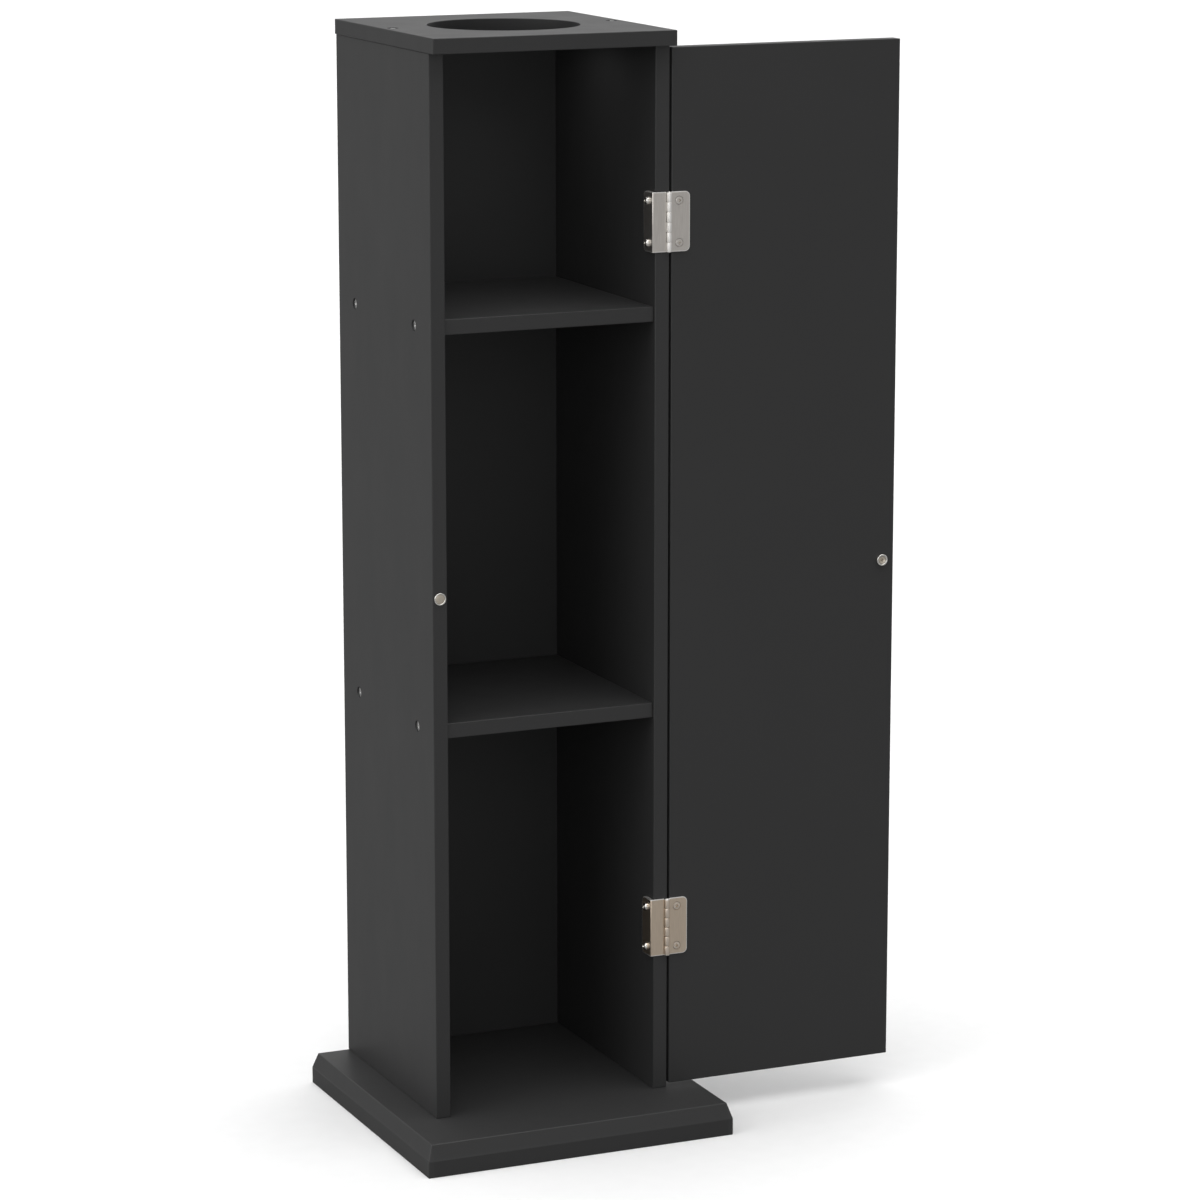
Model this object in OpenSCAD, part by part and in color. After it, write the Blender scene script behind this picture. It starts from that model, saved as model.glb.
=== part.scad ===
// Tall slim floor cabinet for toilet rolls, in painted board.
// Three spaces lie behind one full-height door, the top board has a large round hole, and a wide
// bevelled base plate keeps it steady. Sizes are millimetres, +Z is up and the front faces -Y.
// The origin is on the floor under the middle of the base plate.
// The door is drawn swung fully open, flat in line with the front edges of the side boards.

/* [Body] */
// Outside width across the two side boards
body_w = 200; // [180:1:240]
// Front-to-back depth of the side boards
body_d = 198; // [180:1:240]
// Height of the side boards
side_h = 840; // [780:5:960]
// Thickness of the side boards
side_t = 12; // [11:0.5:16]

/* [Base plate] */
// Width of the base plate
base_w = 262; // [244:1:320]
// Depth of the base plate
base_d = 262; // [250:1:320]
// Thickness of the base plate
base_t = 26; // [22:1:40]
// How far the base plate reaches behind the side boards
base_back = 3.5; // [0:0.5:10]
// Inward run of the bevel on the upper edges
bevel_in = 4; // [1:0.5:12]
// Height of the bevel on the upper edges
bevel_h = 12.5; // [4:0.5:18]

/* [Top board] */
// Thickness of the top board
top_t = 12; // [10:0.5:18]
// How far the top board laps over each side board
top_lap = 1; // [0:0.5:4]
// How far the top board reaches in front of the side boards
top_front = 12; // [4:0.5:20]
// Diameter of the round hole
hole_d = 120; // [90:1:130]

/* [Shelves] */
// Thickness of the shelves
shelf_t = 12; // [10:0.5:16]
// Clear height of the lowest space
lower_space = 308; // [260:1:330]
// Clear height of the uppermost space; the middle one takes what is left
upper_space = 203; // [180:1:260]
// How far the shelves stand back from the front edges
shelf_recess = 2.3; // [0:0.1:6]

/* [Back panel] */
// Thickness of the back panel
back_t = 3; // [3:0.5:5]
// Width of the rebate that holds the back panel in each side board
rebate_w = 6; // [5:0.5:7]
// Gap round the edges of the back panel
back_clear = 0.3; // [0.1:0.1:0.8]

/* [Door] */
// Thickness of the door
door_t = 12; // [11:0.5:14]
// Gap under the door
door_under = 3; // [2:0.5:6]
// Gap over the door
door_over = 2; // [1:0.5:5]
// Gap between the side board and the open door
door_gap = 2; // [1.8:0.1:3.5]
// How far the closed door laps past the left side board, as a finger grip
door_lip = 2; // [0:0.5:6]

/* [Hinges] */
// Height of a hinge
hinge_h = 47; // [40:1:60]
// Thickness of the hinge leaves
leaf_t = 1.2; // [1:0.1:1.6]
// Outside diameter of the knuckles
barrel_d = 4.2; // [4:0.1:5]
// Gap between the knuckles and the front edge of the side board
barrel_clear = 0.1; // [0.1:0.05:0.3]
// Diameter of the hinge pin
pin_d = 2; // [1.6:0.1:2.2]
// Radial clearance round the hinge pin
pin_clear = 0.05; // [0.02:0.01:0.1]
// Number of knuckles, shared in turn by the two leaves
knuckles = 6; // [4:2:8]
// Gap between neighbouring knuckles
knuckle_gap = 0.3; // [0.2:0.05:0.5]
// Gap between a knuckle and the notch in the other leaf
notch_gap = 0.3; // [0.2:0.05:0.6]
// How far the hinge axis stands in from the outer face of the side board
axis_in = 1; // [0:0.1:1.2]
// Thickness of the frame leaf's flange on the inner face
flange_t = 3; // [2.4:0.1:4]
// How far the flange runs back from the front of the leaf
flange_l = 16.5; // [15:0.5:26]
// Radius of the frame leaf's front corner
bend_r = 0.9; // [0.4:0.1:1]
// Reach of the door leaf from the hinge axis
door_leaf_l = 18.2; // [16:0.2:26]
// Radius of the outer corners of the leaves
leaf_corner = 4; // [1:0.5:5]
// Distance between the two screws of a leaf
leaf_screw_pitch = 33; // [24:1:38]
// Distance of the frame screws from the front of the leaf
flange_screw_y = 8; // [6:0.5:10]
// Distance of the door screws from the hinge axis
door_screw_x = 9; // [8:0.2:11]
// Height of the lower hinge's middle over the foot of the door
lower_hinge_rise = 132; // [80:1:200]
// Height of the upper hinge's middle over the upper shelf
upper_hinge_rise = 66; // [40:1:150]

/* [Magnet catch] */
// Diameter of the magnet's steel cup
magnet_d = 8.4; // [7:0.1:8.6]
// Depth of the cup in the side board
magnet_l = 8; // [5:0.5:12]
// Diameter of the cup's collar on the side board's edge
collar_d = 9.8; // [9:0.1:10]
// How far the collar stands out of the side board's edge
collar_t = 1.2; // [0.5:0.1:1.5]
// Wall of the cup
cup_wall = 0.5; // [0.4:0.1:1]
// How far the magnet lies below the rim of the collar
magnet_sink = 0.3; // [0.1:0.1:0.5]
// Diameter of the strike disc
strike_d = 9.4; // [8.6:0.1:12]
// How far the strike stands nearer the hinge than the magnet it meets
strike_shift = 3; // [0:0.5:4]
// Gap between the magnet and the strike when the door is shut
catch_gap = 0.3; // [0.1:0.1:0.6]

/* [Fasteners] */
// Head diameter of the board screws
screw_head_d = 8.4; // [7:0.1:9]
// Shank diameter of the board screws
screw_d = 4; // [3.5:0.1:4.5]
// Length of the board screws in the sides and top
screw_l = 35; // [30:1:45]
// Length of the screws through the base plate
base_screw_l = 50; // [45:1:60]
// Depth of the recess under the base plate for a screw head
base_recess = 4; // [1:0.5:8]
// Head diameter of the flush screws in the door leaves and the strike
small_head_d = 5.8; // [5:0.1:6.2]
// Head diameter of the round-headed screws in the frame leaves
round_head_d = 6.4; // [5.6:0.1:7]
// Shank diameter of the hinge and strike screws
small_d = 3; // [2.5:0.1:3.4]
// Height of the head of the round-headed screws
round_head_t = 3; // [2:0.1:3.4]
// Length of the round-headed screws
round_l = 12; // [9:0.5:12.5]
// Length of the flush screws in the door leaves and the strike
small_l = 10; // [8:0.5:10.5]
// Distance of the shelf screws from the front and rear edges
shelf_screw_in = 35; // [25:1:60]
// Height of the shelf screws over the underside of a shelf
shelf_screw_up = 4; // [3.5:0.5:6]
// Distance of the top screws from the outer faces of the side boards
top_screw_in = 7.6; // [5:0.1:8]
// Distance of the base screws and top dowels from the edges of the side boards
end_fixing_in = 40; // [30:1:60]
// Diameter of the dowels
dowel_d = 6; // [5:0.5:6]
// Length of the dowels
dowel_l = 30; // [24:1:40]
// Length of the dowels' seat in the top board
dowel_seat = 8; // [6:0.5:8]
// Length of the back panel's nails
nail_l = 16; // [12:1:20]
// Number of nails down each edge of the back panel
nails = 4; // [3:1:6]
// Distance of the end nails from the ends of the back panel
nail_in = 60; // [40:5:100]
// Radial clearance of fasteners in their holes
fit = 0.05; // [0.02:0.01:0.1]

/* [Hidden] */
$fn = 48;

board = [0.2, 0.2, 0.205];
hardboard = [0.16, 0.16, 0.165];
nickel = [0.66, 0.63, 0.58];
steel = [0.6, 0.6, 0.6];
beech = [0.78, 0.62, 0.42];

// Planes of the body
left = -1;
right = 1;
outer_x = body_w / 2;
inner_x = outer_x - side_t;
back_y = base_d / 2 - base_back;
front_y = back_y - body_d;
panel_y = back_y - back_t;
mid_y = (back_y + front_y - top_front) / 2;
under_top = base_t + side_h;
lower_z = base_t + lower_space;
upper_z = under_top - upper_space - shelf_t;
shelf_zs = [lower_z, upper_z];

// Door and hinge axis, with the door open
axis_x = outer_x - axis_in;
axis_y = front_y - barrel_d / 2 - barrel_clear;
door_x = outer_x + door_gap;
door_z = base_t + door_under;
door_h = side_h - door_under - door_over;
shut_edge_x = 2 * axis_x - door_x;
door_w = shut_edge_x + outer_x + door_lip;
shut_gap = 2 * (front_y - axis_y);
lower_hinge_z = door_z + lower_hinge_rise;
upper_hinge_z = upper_z + shelf_t + upper_hinge_rise;
bore_r = pin_d / 2 + pin_clear;
notch_x = barrel_d / 2 + notch_gap;

// The tongues start far enough out to clear the side board when the door swings past flat
over_swing = 7;
tongue_x = (axis_in + (front_y - axis_y) * sin(over_swing)) / cos(over_swing);

// Catch: the strike on the open door mirrors the magnet about the hinge axis, but for its shift
catch_x = side_t / 2 - outer_x;
catch_z = base_t + side_h / 2;
strike_x = 2 * axis_x - catch_x - strike_shift;
strike_t = shut_gap - collar_t - catch_gap;
magnet_h = magnet_l + collar_t - magnet_sink - cup_wall;

// Fasteners
head_rim = 0.4;
head_sink = 0.2;
mouth_clear = 0.2;
nail_d = 1.4;
nail_head_d = 3;
nail_head_t = 0.5;
tip_gap = 1;
pin_dome = 0.5;

// How far a cut runs past the face it opens
over = 1;

// Cross-shaped driver recess, sunk from height z
module cross_recess(head_d, z) {
    for (turn = [0, 90])
        rotate([0, 0, turn])
            translate([-head_d * 0.27, -head_d * 0.07, z - head_d * 0.2])
                cube([head_d * 0.54, head_d * 0.14, head_d * 0.2 + over]);
}

// Countersunk screw with its head face at height 0 and its point down
module flush_screw(head_d, shank_d, length) {
    difference() {
        rotate_extrude()
            polygon([
                [0, 0],
                [head_d / 2, 0],
                [head_d / 2, -head_rim],
                [shank_d / 2, -head_rim - (head_d - shank_d) / 2],
                [shank_d / 2, -length + shank_d / 2],
                [shank_d / 4, -length],
                [0, -length]
            ]);
        cross_recess(head_d, 0);
    }
}

// Room for a countersunk screw, open above its head by the given sink
module flush_hole(head_d, shank_d, length, sink) {
    mouth_r = head_d / 2 + mouth_clear;
    hole_r = shank_d / 2 + fit;
    rotate_extrude()
        polygon([
            [0, sink + over],
            [mouth_r, sink + over],
            [mouth_r, -head_rim],
            [hole_r, -head_rim - mouth_r + hole_r],
            [hole_r, -length - tip_gap],
            [0, -length - tip_gap]
        ]);
}

// Round-headed screw whose head sits on height 0
module round_screw() {
    difference() {
        rotate_extrude()
            polygon([
                [0, round_head_t],
                [round_head_d * 0.19, round_head_t * 0.96],
                [round_head_d * 0.34, round_head_t * 0.8],
                [round_head_d * 0.45, round_head_t * 0.52],
                [round_head_d / 2, round_head_t * 0.16],
                [round_head_d / 2, 0],
                [small_d / 2, 0],
                [small_d / 2, -round_l + small_d / 2],
                [small_d / 4, -round_l],
                [0, -round_l]
            ]);
        cross_recess(round_head_d, round_head_t);
    }
}

module plain_hole(diameter, depth) {
    translate([0, 0, -depth])
        cylinder(d = diameter + 2 * fit, h = depth + over);
}

// Places where fasteners go, each with its own -Z pointing into the board
module at_shelf_screws(side) {
    for (z = shelf_zs, y = [front_y + shelf_screw_in, back_y - shelf_screw_in])
        translate([side * (outer_x - head_sink), y, z + shelf_screw_up])
            rotate([0, 90 * side, 0])
                children();
}

module at_top_screws() {
    for (side = [left, right])
        translate([side * (outer_x - top_screw_in), mid_y, under_top + top_t - head_sink])
            children();
}

module at_base_screws() {
    for (side = [left, right], y = [front_y + end_fixing_in, back_y - end_fixing_in])
        translate([side * (outer_x - side_t / 2), y, base_recess])
            rotate([180, 0, 0])
                children();
}

module at_top_dowels() {
    for (side = [left, right], y = [front_y + end_fixing_in, back_y - end_fixing_in])
        translate([side * (outer_x - side_t / 2), y, under_top + dowel_seat - dowel_l])
            children();
}

module at_base_dowels() {
    for (side = [left, right])
        translate([side * (outer_x - side_t / 2), (front_y + back_y) / 2, base_t - dowel_l / 2])
            children();
}

module at_nails() {
    span = side_h - 2 * nail_in;
    for (side = [left, right], i = [0 : nails - 1])
        translate([side * (inner_x + rebate_w / 2), back_y, base_t + nail_in + i * span / (nails - 1)])
            rotate([-90, 0, 0])
                children();
}

module at_frame_screws(z_mid) {
    for (z = [z_mid - leaf_screw_pitch / 2, z_mid + leaf_screw_pitch / 2])
        translate([inner_x - flange_t, front_y - leaf_t + flange_screw_y, z])
            rotate([0, -90, 0])
                children();
}

module at_door_screws(z_mid) {
    for (z = [z_mid - leaf_screw_pitch / 2, z_mid + leaf_screw_pitch / 2])
        translate([axis_x + door_screw_x, front_y - leaf_t, z])
            rotate([90, 0, 0])
                children();
}

module at_strike() {
    translate([strike_x, front_y, catch_z])
        rotate([90, 0, 0])
            children();
}

module at_magnet() {
    translate([catch_x, front_y, catch_z])
        rotate([90, 0, 0])
            children();
}

module board_hole() {
    flush_hole(screw_head_d, screw_d, screw_l, head_sink);
}

module dowel_hole() {
    translate([0, 0, -tip_gap])
        cylinder(d = dowel_d + 2 * fit, h = dowel_l + 2 * tip_gap);
}

module base_hole() {
    flush_hole(screw_head_d, screw_d, base_screw_l, base_recess);
}

// One side board with every cut that both of them share
module side_board(side) {
    difference() {
        translate([side == right ? inner_x : -outer_x, front_y, base_t])
            cube([side_t, body_d, side_h]);
        translate([side == right ? inner_x - over : -inner_x - rebate_w, panel_y, base_t - over])
            cube([rebate_w + over, back_t + over, side_h + 2 * over]);
        at_shelf_screws(side)
            board_hole();
        at_top_screws()
            board_hole();
        at_base_screws()
            base_hole();
        at_top_dowels()
            dowel_hole();
        at_base_dowels()
            dowel_hole();
        at_nails()
            plain_hole(nail_d, nail_l);
    }
}

module left_side_board() {
    color(board)
        difference() {
            side_board(left);
            at_magnet()
                plain_hole(magnet_d, magnet_l);
        }
}

module right_side_board() {
    color(board)
        difference() {
            side_board(right);
            for (z = [lower_hinge_z, upper_hinge_z])
                at_frame_screws(z)
                    plain_hole(small_d, round_l + tip_gap / 2);
        }
}

// The bevel is the meeting of two long prisms, one along each axis of the plate
module base_plate() {
    color(board)
        difference() {
            intersection() {
                rotate([90, 0, 0])
                    translate([0, 0, -base_d / 2])
                        linear_extrude(base_d)
                            plate_outline(base_w);
                rotate([90, 0, 90])
                    translate([0, 0, -base_w / 2])
                        linear_extrude(base_w)
                            plate_outline(base_d);
            }
            at_base_screws()
                base_hole();
            at_base_dowels()
                dowel_hole();
        }
}

module plate_outline(width) {
    half = width / 2;
    polygon([
        [-half, 0],
        [half, 0],
        [half, base_t - bevel_h],
        [half - bevel_in, base_t],
        [bevel_in - half, base_t],
        [-half, base_t - bevel_h]
    ]);
}

module back_panel() {
    half = inner_x + rebate_w - back_clear;
    color(hardboard)
        difference() {
            translate([-half, panel_y, base_t + back_clear])
                cube([2 * half, back_t, side_h - 2 * back_clear]);
            at_nails()
                plain_hole(nail_d, nail_l);
        }
}

module top_board() {
    half = outer_x + top_lap;
    color(board)
        difference() {
            translate([-half, front_y - top_front, under_top])
                cube([2 * half, body_d + top_front, top_t]);
            translate([0, mid_y, under_top - over])
                cylinder(d = hole_d, h = top_t + 2 * over, $fn = 96);
            at_top_screws()
                board_hole();
            at_top_dowels()
                dowel_hole();
        }
}

module shelf(z) {
    color(board)
        difference() {
            translate([-inner_x, front_y + shelf_recess, z])
                cube([2 * inner_x, panel_y - front_y - shelf_recess, shelf_t]);
            for (side = [left, right])
                at_shelf_screws(side)
                    board_hole();
        }
}

module upper_shelf() {
    shelf(upper_z);
}

module lower_shelf() {
    shelf(lower_z);
}

module door_board() {
    color(board)
        difference() {
            translate([door_x, front_y, door_z])
                cube([door_w, door_t, door_h]);
            for (z = [lower_hinge_z, upper_hinge_z])
                at_door_screws(z)
                    small_hole();
            at_strike()
                translate([0, 0, strike_t])
                    small_hole();
        }
}

module small_hole() {
    flush_hole(small_head_d, small_d, small_l, 0);
}

// Knuckles of one leaf, from the knuckle numbered first, standing on height 0
module knuckle_row(first) {
    pitch = hinge_h / knuckles;
    for (i = [first : 2 : knuckles - 1])
        translate([axis_x, axis_y, i * pitch + knuckle_gap / 2])
            cylinder(d = barrel_d, h = pitch - knuckle_gap);
}

// Tongues that join a leaf's plate to its knuckles, towards the given side of the axis
module tongue_row(first, side) {
    pitch = hinge_h / knuckles;
    reach = notch_x - tongue_x;
    for (i = [first : 2 : knuckles - 1])
        translate([
            axis_x + (side == right ? tongue_x : -notch_x),
            front_y - leaf_t,
            i * pitch + knuckle_gap / 2
        ])
            cube([reach, leaf_t, pitch - knuckle_gap]);
}

module pin_bore() {
    translate([axis_x, axis_y, -over])
        cylinder(r = bore_r, h = hinge_h + 2 * over);
}

// Rectangle from the origin with its two far corners rounded
module tab(length, height) {
    square([length - leaf_corner, height]);
    translate([0, leaf_corner])
        square([length, height - 2 * leaf_corner]);
    for (v = [leaf_corner, height - leaf_corner])
        translate([length - leaf_corner, v])
            circle(r = leaf_corner);
}

// Seen from above, the frame leaf turns round the inner edge of the side board
module frame_leaf(z_mid) {
    corner_x = inner_x - flange_t + bend_r;
    corner_y = front_y - leaf_t + bend_r;
    color(nickel)
        translate([0, 0, z_mid - hinge_h / 2])
            difference() {
                union() {
                    translate([corner_x, front_y - leaf_t, 0])
                        cube([axis_x - notch_x - corner_x, leaf_t, hinge_h]);
                    translate([inner_x - flange_t, corner_y, 0])
                        rotate([90, 0, 90])
                            linear_extrude(flange_t)
                                tab(flange_l - bend_r, hinge_h);
                    translate([corner_x, corner_y, 0])
                        cylinder(r = bend_r, h = hinge_h);
                    tongue_row(0, left);
                    knuckle_row(0);
                }
                pin_bore();
                translate([0, 0, hinge_h / 2 - z_mid])
                    at_frame_screws(z_mid)
                        plain_hole(small_d, flange_t + over);
            }
}

module door_leaf(z_mid) {
    color(nickel)
        translate([0, 0, z_mid - hinge_h / 2])
            difference() {
                union() {
                    translate([axis_x + notch_x, front_y, 0])
                        rotate([90, 0, 0])
                            linear_extrude(leaf_t)
                                tab(door_leaf_l - notch_x, hinge_h);
                    tongue_row(1, right);
                    knuckle_row(1);
                }
                pin_bore();
                translate([0, 0, hinge_h / 2 - z_mid])
                    at_door_screws(z_mid)
                        small_hole();
            }
}

module hinge_pin(z_mid) {
    color(steel)
        translate([axis_x, axis_y, z_mid - hinge_h / 2])
            rotate_extrude()
                polygon([
                    [0, -pin_dome],
                    [pin_d / 2 - pin_dome, -pin_dome],
                    [pin_d / 2, 0],
                    [pin_d / 2, hinge_h],
                    [pin_d / 2 - pin_dome, hinge_h + pin_dome],
                    [0, hinge_h + pin_dome]
                ]);
}

module upper_frame_leaf() {
    frame_leaf(upper_hinge_z);
}

module upper_door_leaf() {
    door_leaf(upper_hinge_z);
}

module upper_hinge_pin() {
    hinge_pin(upper_hinge_z);
}

module upper_frame_screws() {
    color(steel)
        at_frame_screws(upper_hinge_z)
            round_screw();
}

module upper_door_screws() {
    color(steel)
        at_door_screws(upper_hinge_z)
            flush_screw(small_head_d, small_d, small_l);
}

module lower_frame_leaf() {
    frame_leaf(lower_hinge_z);
}

module lower_door_leaf() {
    door_leaf(lower_hinge_z);
}

module lower_hinge_pin() {
    hinge_pin(lower_hinge_z);
}

module lower_frame_screws() {
    color(steel)
        at_frame_screws(lower_hinge_z)
            round_screw();
}

module lower_door_screws() {
    color(steel)
        at_door_screws(lower_hinge_z)
            flush_screw(small_head_d, small_d, small_l);
}

module magnet_cup() {
    color(nickel)
        at_magnet()
            difference() {
                union() {
                    cylinder(d = collar_d, h = collar_t);
                    translate([0, 0, -magnet_l])
                        cylinder(d = magnet_d, h = magnet_l);
                }
                translate([0, 0, cup_wall - magnet_l])
                    cylinder(d = magnet_d - 2 * cup_wall, h = magnet_l + collar_t);
            }
}

module magnet_disc() {
    color(steel)
        at_magnet()
            translate([0, 0, cup_wall - magnet_l])
                cylinder(d = magnet_d - 2 * cup_wall - 2 * fit, h = magnet_h);
}

module strike_disc() {
    color(nickel)
        at_strike()
            difference() {
                cylinder(d = strike_d, h = strike_t);
                translate([0, 0, strike_t])
                    small_hole();
            }
}

module strike_screw() {
    color(steel)
        at_strike()
            translate([0, 0, strike_t])
                flush_screw(small_head_d, small_d, small_l);
}

module left_shelf_screws() {
    color(steel)
        at_shelf_screws(left)
            flush_screw(screw_head_d, screw_d, screw_l);
}

module right_shelf_screws() {
    color(steel)
        at_shelf_screws(right)
            flush_screw(screw_head_d, screw_d, screw_l);
}

module top_screws() {
    color(steel)
        at_top_screws()
            flush_screw(screw_head_d, screw_d, screw_l);
}

module base_screws() {
    color(steel)
        at_base_screws()
            flush_screw(screw_head_d, screw_d, base_screw_l);
}

module top_dowels() {
    color(beech)
        at_top_dowels()
            cylinder(d = dowel_d, h = dowel_l);
}

module base_dowels() {
    color(beech)
        at_base_dowels()
            cylinder(d = dowel_d, h = dowel_l);
}

module back_nails() {
    color(steel)
        at_nails() {
            cylinder(d = nail_head_d, h = nail_head_t);
            translate([0, 0, -nail_l + tip_gap])
                cylinder(d = nail_d, h = nail_l - tip_gap);
        }
}

base_plate();
left_side_board();
right_side_board();
back_panel();
top_board();
upper_shelf();
lower_shelf();
door_board();
upper_frame_leaf();
upper_door_leaf();
upper_hinge_pin();
upper_frame_screws();
upper_door_screws();
lower_frame_leaf();
lower_door_leaf();
lower_hinge_pin();
lower_frame_screws();
lower_door_screws();
magnet_cup();
magnet_disc();
strike_disc();
strike_screw();
left_shelf_screws();
right_shelf_screws();
top_screws();
base_screws();
top_dowels();
base_dowels();
back_nails();
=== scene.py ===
import math
import random

import bmesh
import bpy
from mathutils import Matrix, Vector


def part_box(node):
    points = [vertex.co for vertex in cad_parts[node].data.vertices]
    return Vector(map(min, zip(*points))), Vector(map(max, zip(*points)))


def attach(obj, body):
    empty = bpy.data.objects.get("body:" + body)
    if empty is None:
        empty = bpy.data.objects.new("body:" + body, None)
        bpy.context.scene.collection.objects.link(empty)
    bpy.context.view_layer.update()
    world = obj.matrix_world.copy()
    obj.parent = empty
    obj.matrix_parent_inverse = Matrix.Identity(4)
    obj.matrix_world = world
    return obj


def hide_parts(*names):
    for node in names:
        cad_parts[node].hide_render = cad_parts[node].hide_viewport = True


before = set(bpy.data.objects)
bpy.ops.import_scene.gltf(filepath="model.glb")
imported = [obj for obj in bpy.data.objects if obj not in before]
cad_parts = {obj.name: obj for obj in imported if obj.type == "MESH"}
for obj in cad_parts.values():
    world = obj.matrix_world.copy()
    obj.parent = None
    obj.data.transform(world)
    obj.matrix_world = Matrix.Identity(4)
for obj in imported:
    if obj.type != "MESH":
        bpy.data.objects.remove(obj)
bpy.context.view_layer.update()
mm = 0.001
left, right = -1, 1
toFront, toTop, toFloor = Vector((0, -1, 0)), Vector((0, 0, 1)), Vector((0, 0, -1))
print("frame read:", len(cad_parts), "nodes")


def inScene(name, data):
    made = bpy.data.objects.new(name, data)
    bpy.context.scene.collection.objects.link(made)
    return made


# Camera: from the left of the front, a little above the top board and looking down
cameraView = {
    "place": (-1.327672, -3.165881, 1.150883),
    "pitch": 78.038,
    "turn": -23.856,
    "lens": 132.215,
    "sensor": 36.0,
    "farthest": 200.0,
}


def makeCamera(values):
    data = bpy.data.cameras.new("viewCamera")
    data.lens = values["lens"]
    data.sensor_width = values["sensor"]
    data.clip_end = values["farthest"]
    camera = inScene("viewCamera", data)
    camera.location = values["place"]
    camera.rotation_euler = (math.radians(values["pitch"]), 0, math.radians(values["turn"]))
    bpy.context.scene.camera = camera


makeCamera(cameraView)
bpy.context.scene.view_settings.view_transform = "Standard"
print("camera placed")


# Small helpers for node trees
def addNode(tree, kind, **settings):
    made = tree.nodes.new(kind)
    for key, value in settings.items():
        setattr(made, key, value)
    return made


def feed(tree, socket, value):
    if isinstance(value, bpy.types.NodeSocket):
        tree.links.new(value, socket)
    else:
        socket.default_value = value


def calc(tree, how, first, second=0.0, clamp=False):
    made = addNode(tree, "ShaderNodeMath", operation=how, use_clamp=clamp)
    feed(tree, made.inputs[0], first)
    feed(tree, made.inputs[1], second)
    return made.outputs[0]


def spread(tree, value, fromLow, fromHigh, toLow=0.0, toHigh=1.0):
    made = addNode(tree, "ShaderNodeMapRange")
    for socket, part in zip(made.inputs, (value, fromLow, fromHigh, toLow, toHigh)):
        feed(tree, socket, part)
    return made.outputs[0]


def noise(tree, point, scale, detail=2.0, rough=0.5):
    made = addNode(tree, "ShaderNodeTexNoise")
    for label, value in (("Vector", point), ("Scale", scale), ("Detail", detail), ("Roughness", rough)):
        feed(tree, made.inputs[label], value)
    return made.outputs[0]


def vectorCalc(tree, how, first, second=None):
    made = addNode(tree, "ShaderNodeVectorMath", operation=how)
    feed(tree, made.inputs[0], first)
    if second is not None:
        feed(tree, made.inputs[1], second)
    return made.outputs["Value" if how in ("LENGTH", "DOT_PRODUCT") else "Vector"]


def splitVector(tree, vector):
    made = addNode(tree, "ShaderNodeSeparateXYZ")
    feed(tree, made.inputs[0], vector)
    return made.outputs


# How far a point lies past the corner of a box, from the box's middle and half its size
def pastCorner(tree, point, middle, half):
    inward = vectorCalc(tree, "SUBTRACT", point, middle)
    return vectorCalc(tree, "SUBTRACT", vectorCalc(tree, "ABSOLUTE", inward), half)


def stretched(tree, point, scale):
    made = addNode(tree, "ShaderNodeMapping", vector_type="POINT")
    feed(tree, made.inputs["Vector"], point)
    feed(tree, made.inputs["Scale"], scale)
    return made.outputs[0]


def blendColour(tree, factor, first, second):
    made = addNode(tree, "ShaderNodeMix", data_type="RGBA")
    feed(tree, made.inputs[0], factor)
    feed(tree, made.inputs[6], first)
    feed(tree, made.inputs[7], second)
    return made.outputs[2]


def blendValue(tree, share, first, second):
    return calc(tree, "ADD", calc(tree, "MULTIPLY", first, 1 - share), calc(tree, "MULTIPLY", second, share))


# Every group takes a point first, and then its own inputs: vectors, or values given as one number
def startGroup(name, outputs, **inputs):
    group = bpy.data.node_groups.new(name, "ShaderNodeTree")
    for label, value in {"Point": (0, 0, 0), **inputs}.items():
        kind = "NodeSocketFloat" if isinstance(value, float) else "NodeSocketVector"
        socket = group.interface.new_socket(label, in_out="INPUT", socket_type=kind)
        socket.default_value = value
    for label in outputs:
        group.interface.new_socket(label, in_out="OUTPUT", socket_type="NodeSocketFloat")
    return group, addNode(group, "NodeGroupInput").outputs, addNode(group, "NodeGroupOutput").inputs


def placeGroup(tree, group, **values):
    made = addNode(tree, "ShaderNodeGroup", node_tree=group)
    for label, value in values.items():
        feed(tree, made.inputs[label], value)
    return made.outputs


# Sprayed paint: fine orange peel, a little grit, slow drifts of tone and rubbed patches of gloss.
# Here and below, a noise is given as its scale, detail and roughness
paintSkinForm = {
    "peel": (620.0, 2.0, 0.45),
    "grit": (2600.0, 1.0, 0.5),
    "drift": (6.5, 3.0, 0.55),
    "rub": (26.0, 4.0, 0.6),
    "rubStretch": (1.0, 1.0, 0.45),
    "rubSpan": (0.3, 0.7),
    "gritInTone": 0.3,
    "gritInHeight": 0.2,
}


def paintSkinGroup(form):
    group, given, result = startGroup("paintSkin", ["Tone", "Gloss", "Height"])
    point = given["Point"]
    peel = noise(group, point, *form["peel"])
    grit = noise(group, point, *form["grit"])
    drift = noise(group, point, *form["drift"])
    rub = noise(group, stretched(group, point, form["rubStretch"]), *form["rub"])
    feed(group, result["Tone"], blendValue(group, form["gritInTone"], drift, grit))
    feed(group, result["Gloss"], spread(group, rub, *form["rubSpan"]))
    feed(group, result["Height"], blendValue(group, form["gritInHeight"], peel, grit))
    return group


# How near a point of a board is to its arrises, and whether it lies on a cut edge between the faces
boardArrisForm = {
    "ragged": (240.0, 3.0, 0.6),
    "raggedSpan": (0.3, 0.7),
    "reachSpan": (0.5, 1.5),
    "cutEdgeSpan": (-0.9 * mm, -0.3 * mm),
}


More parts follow.
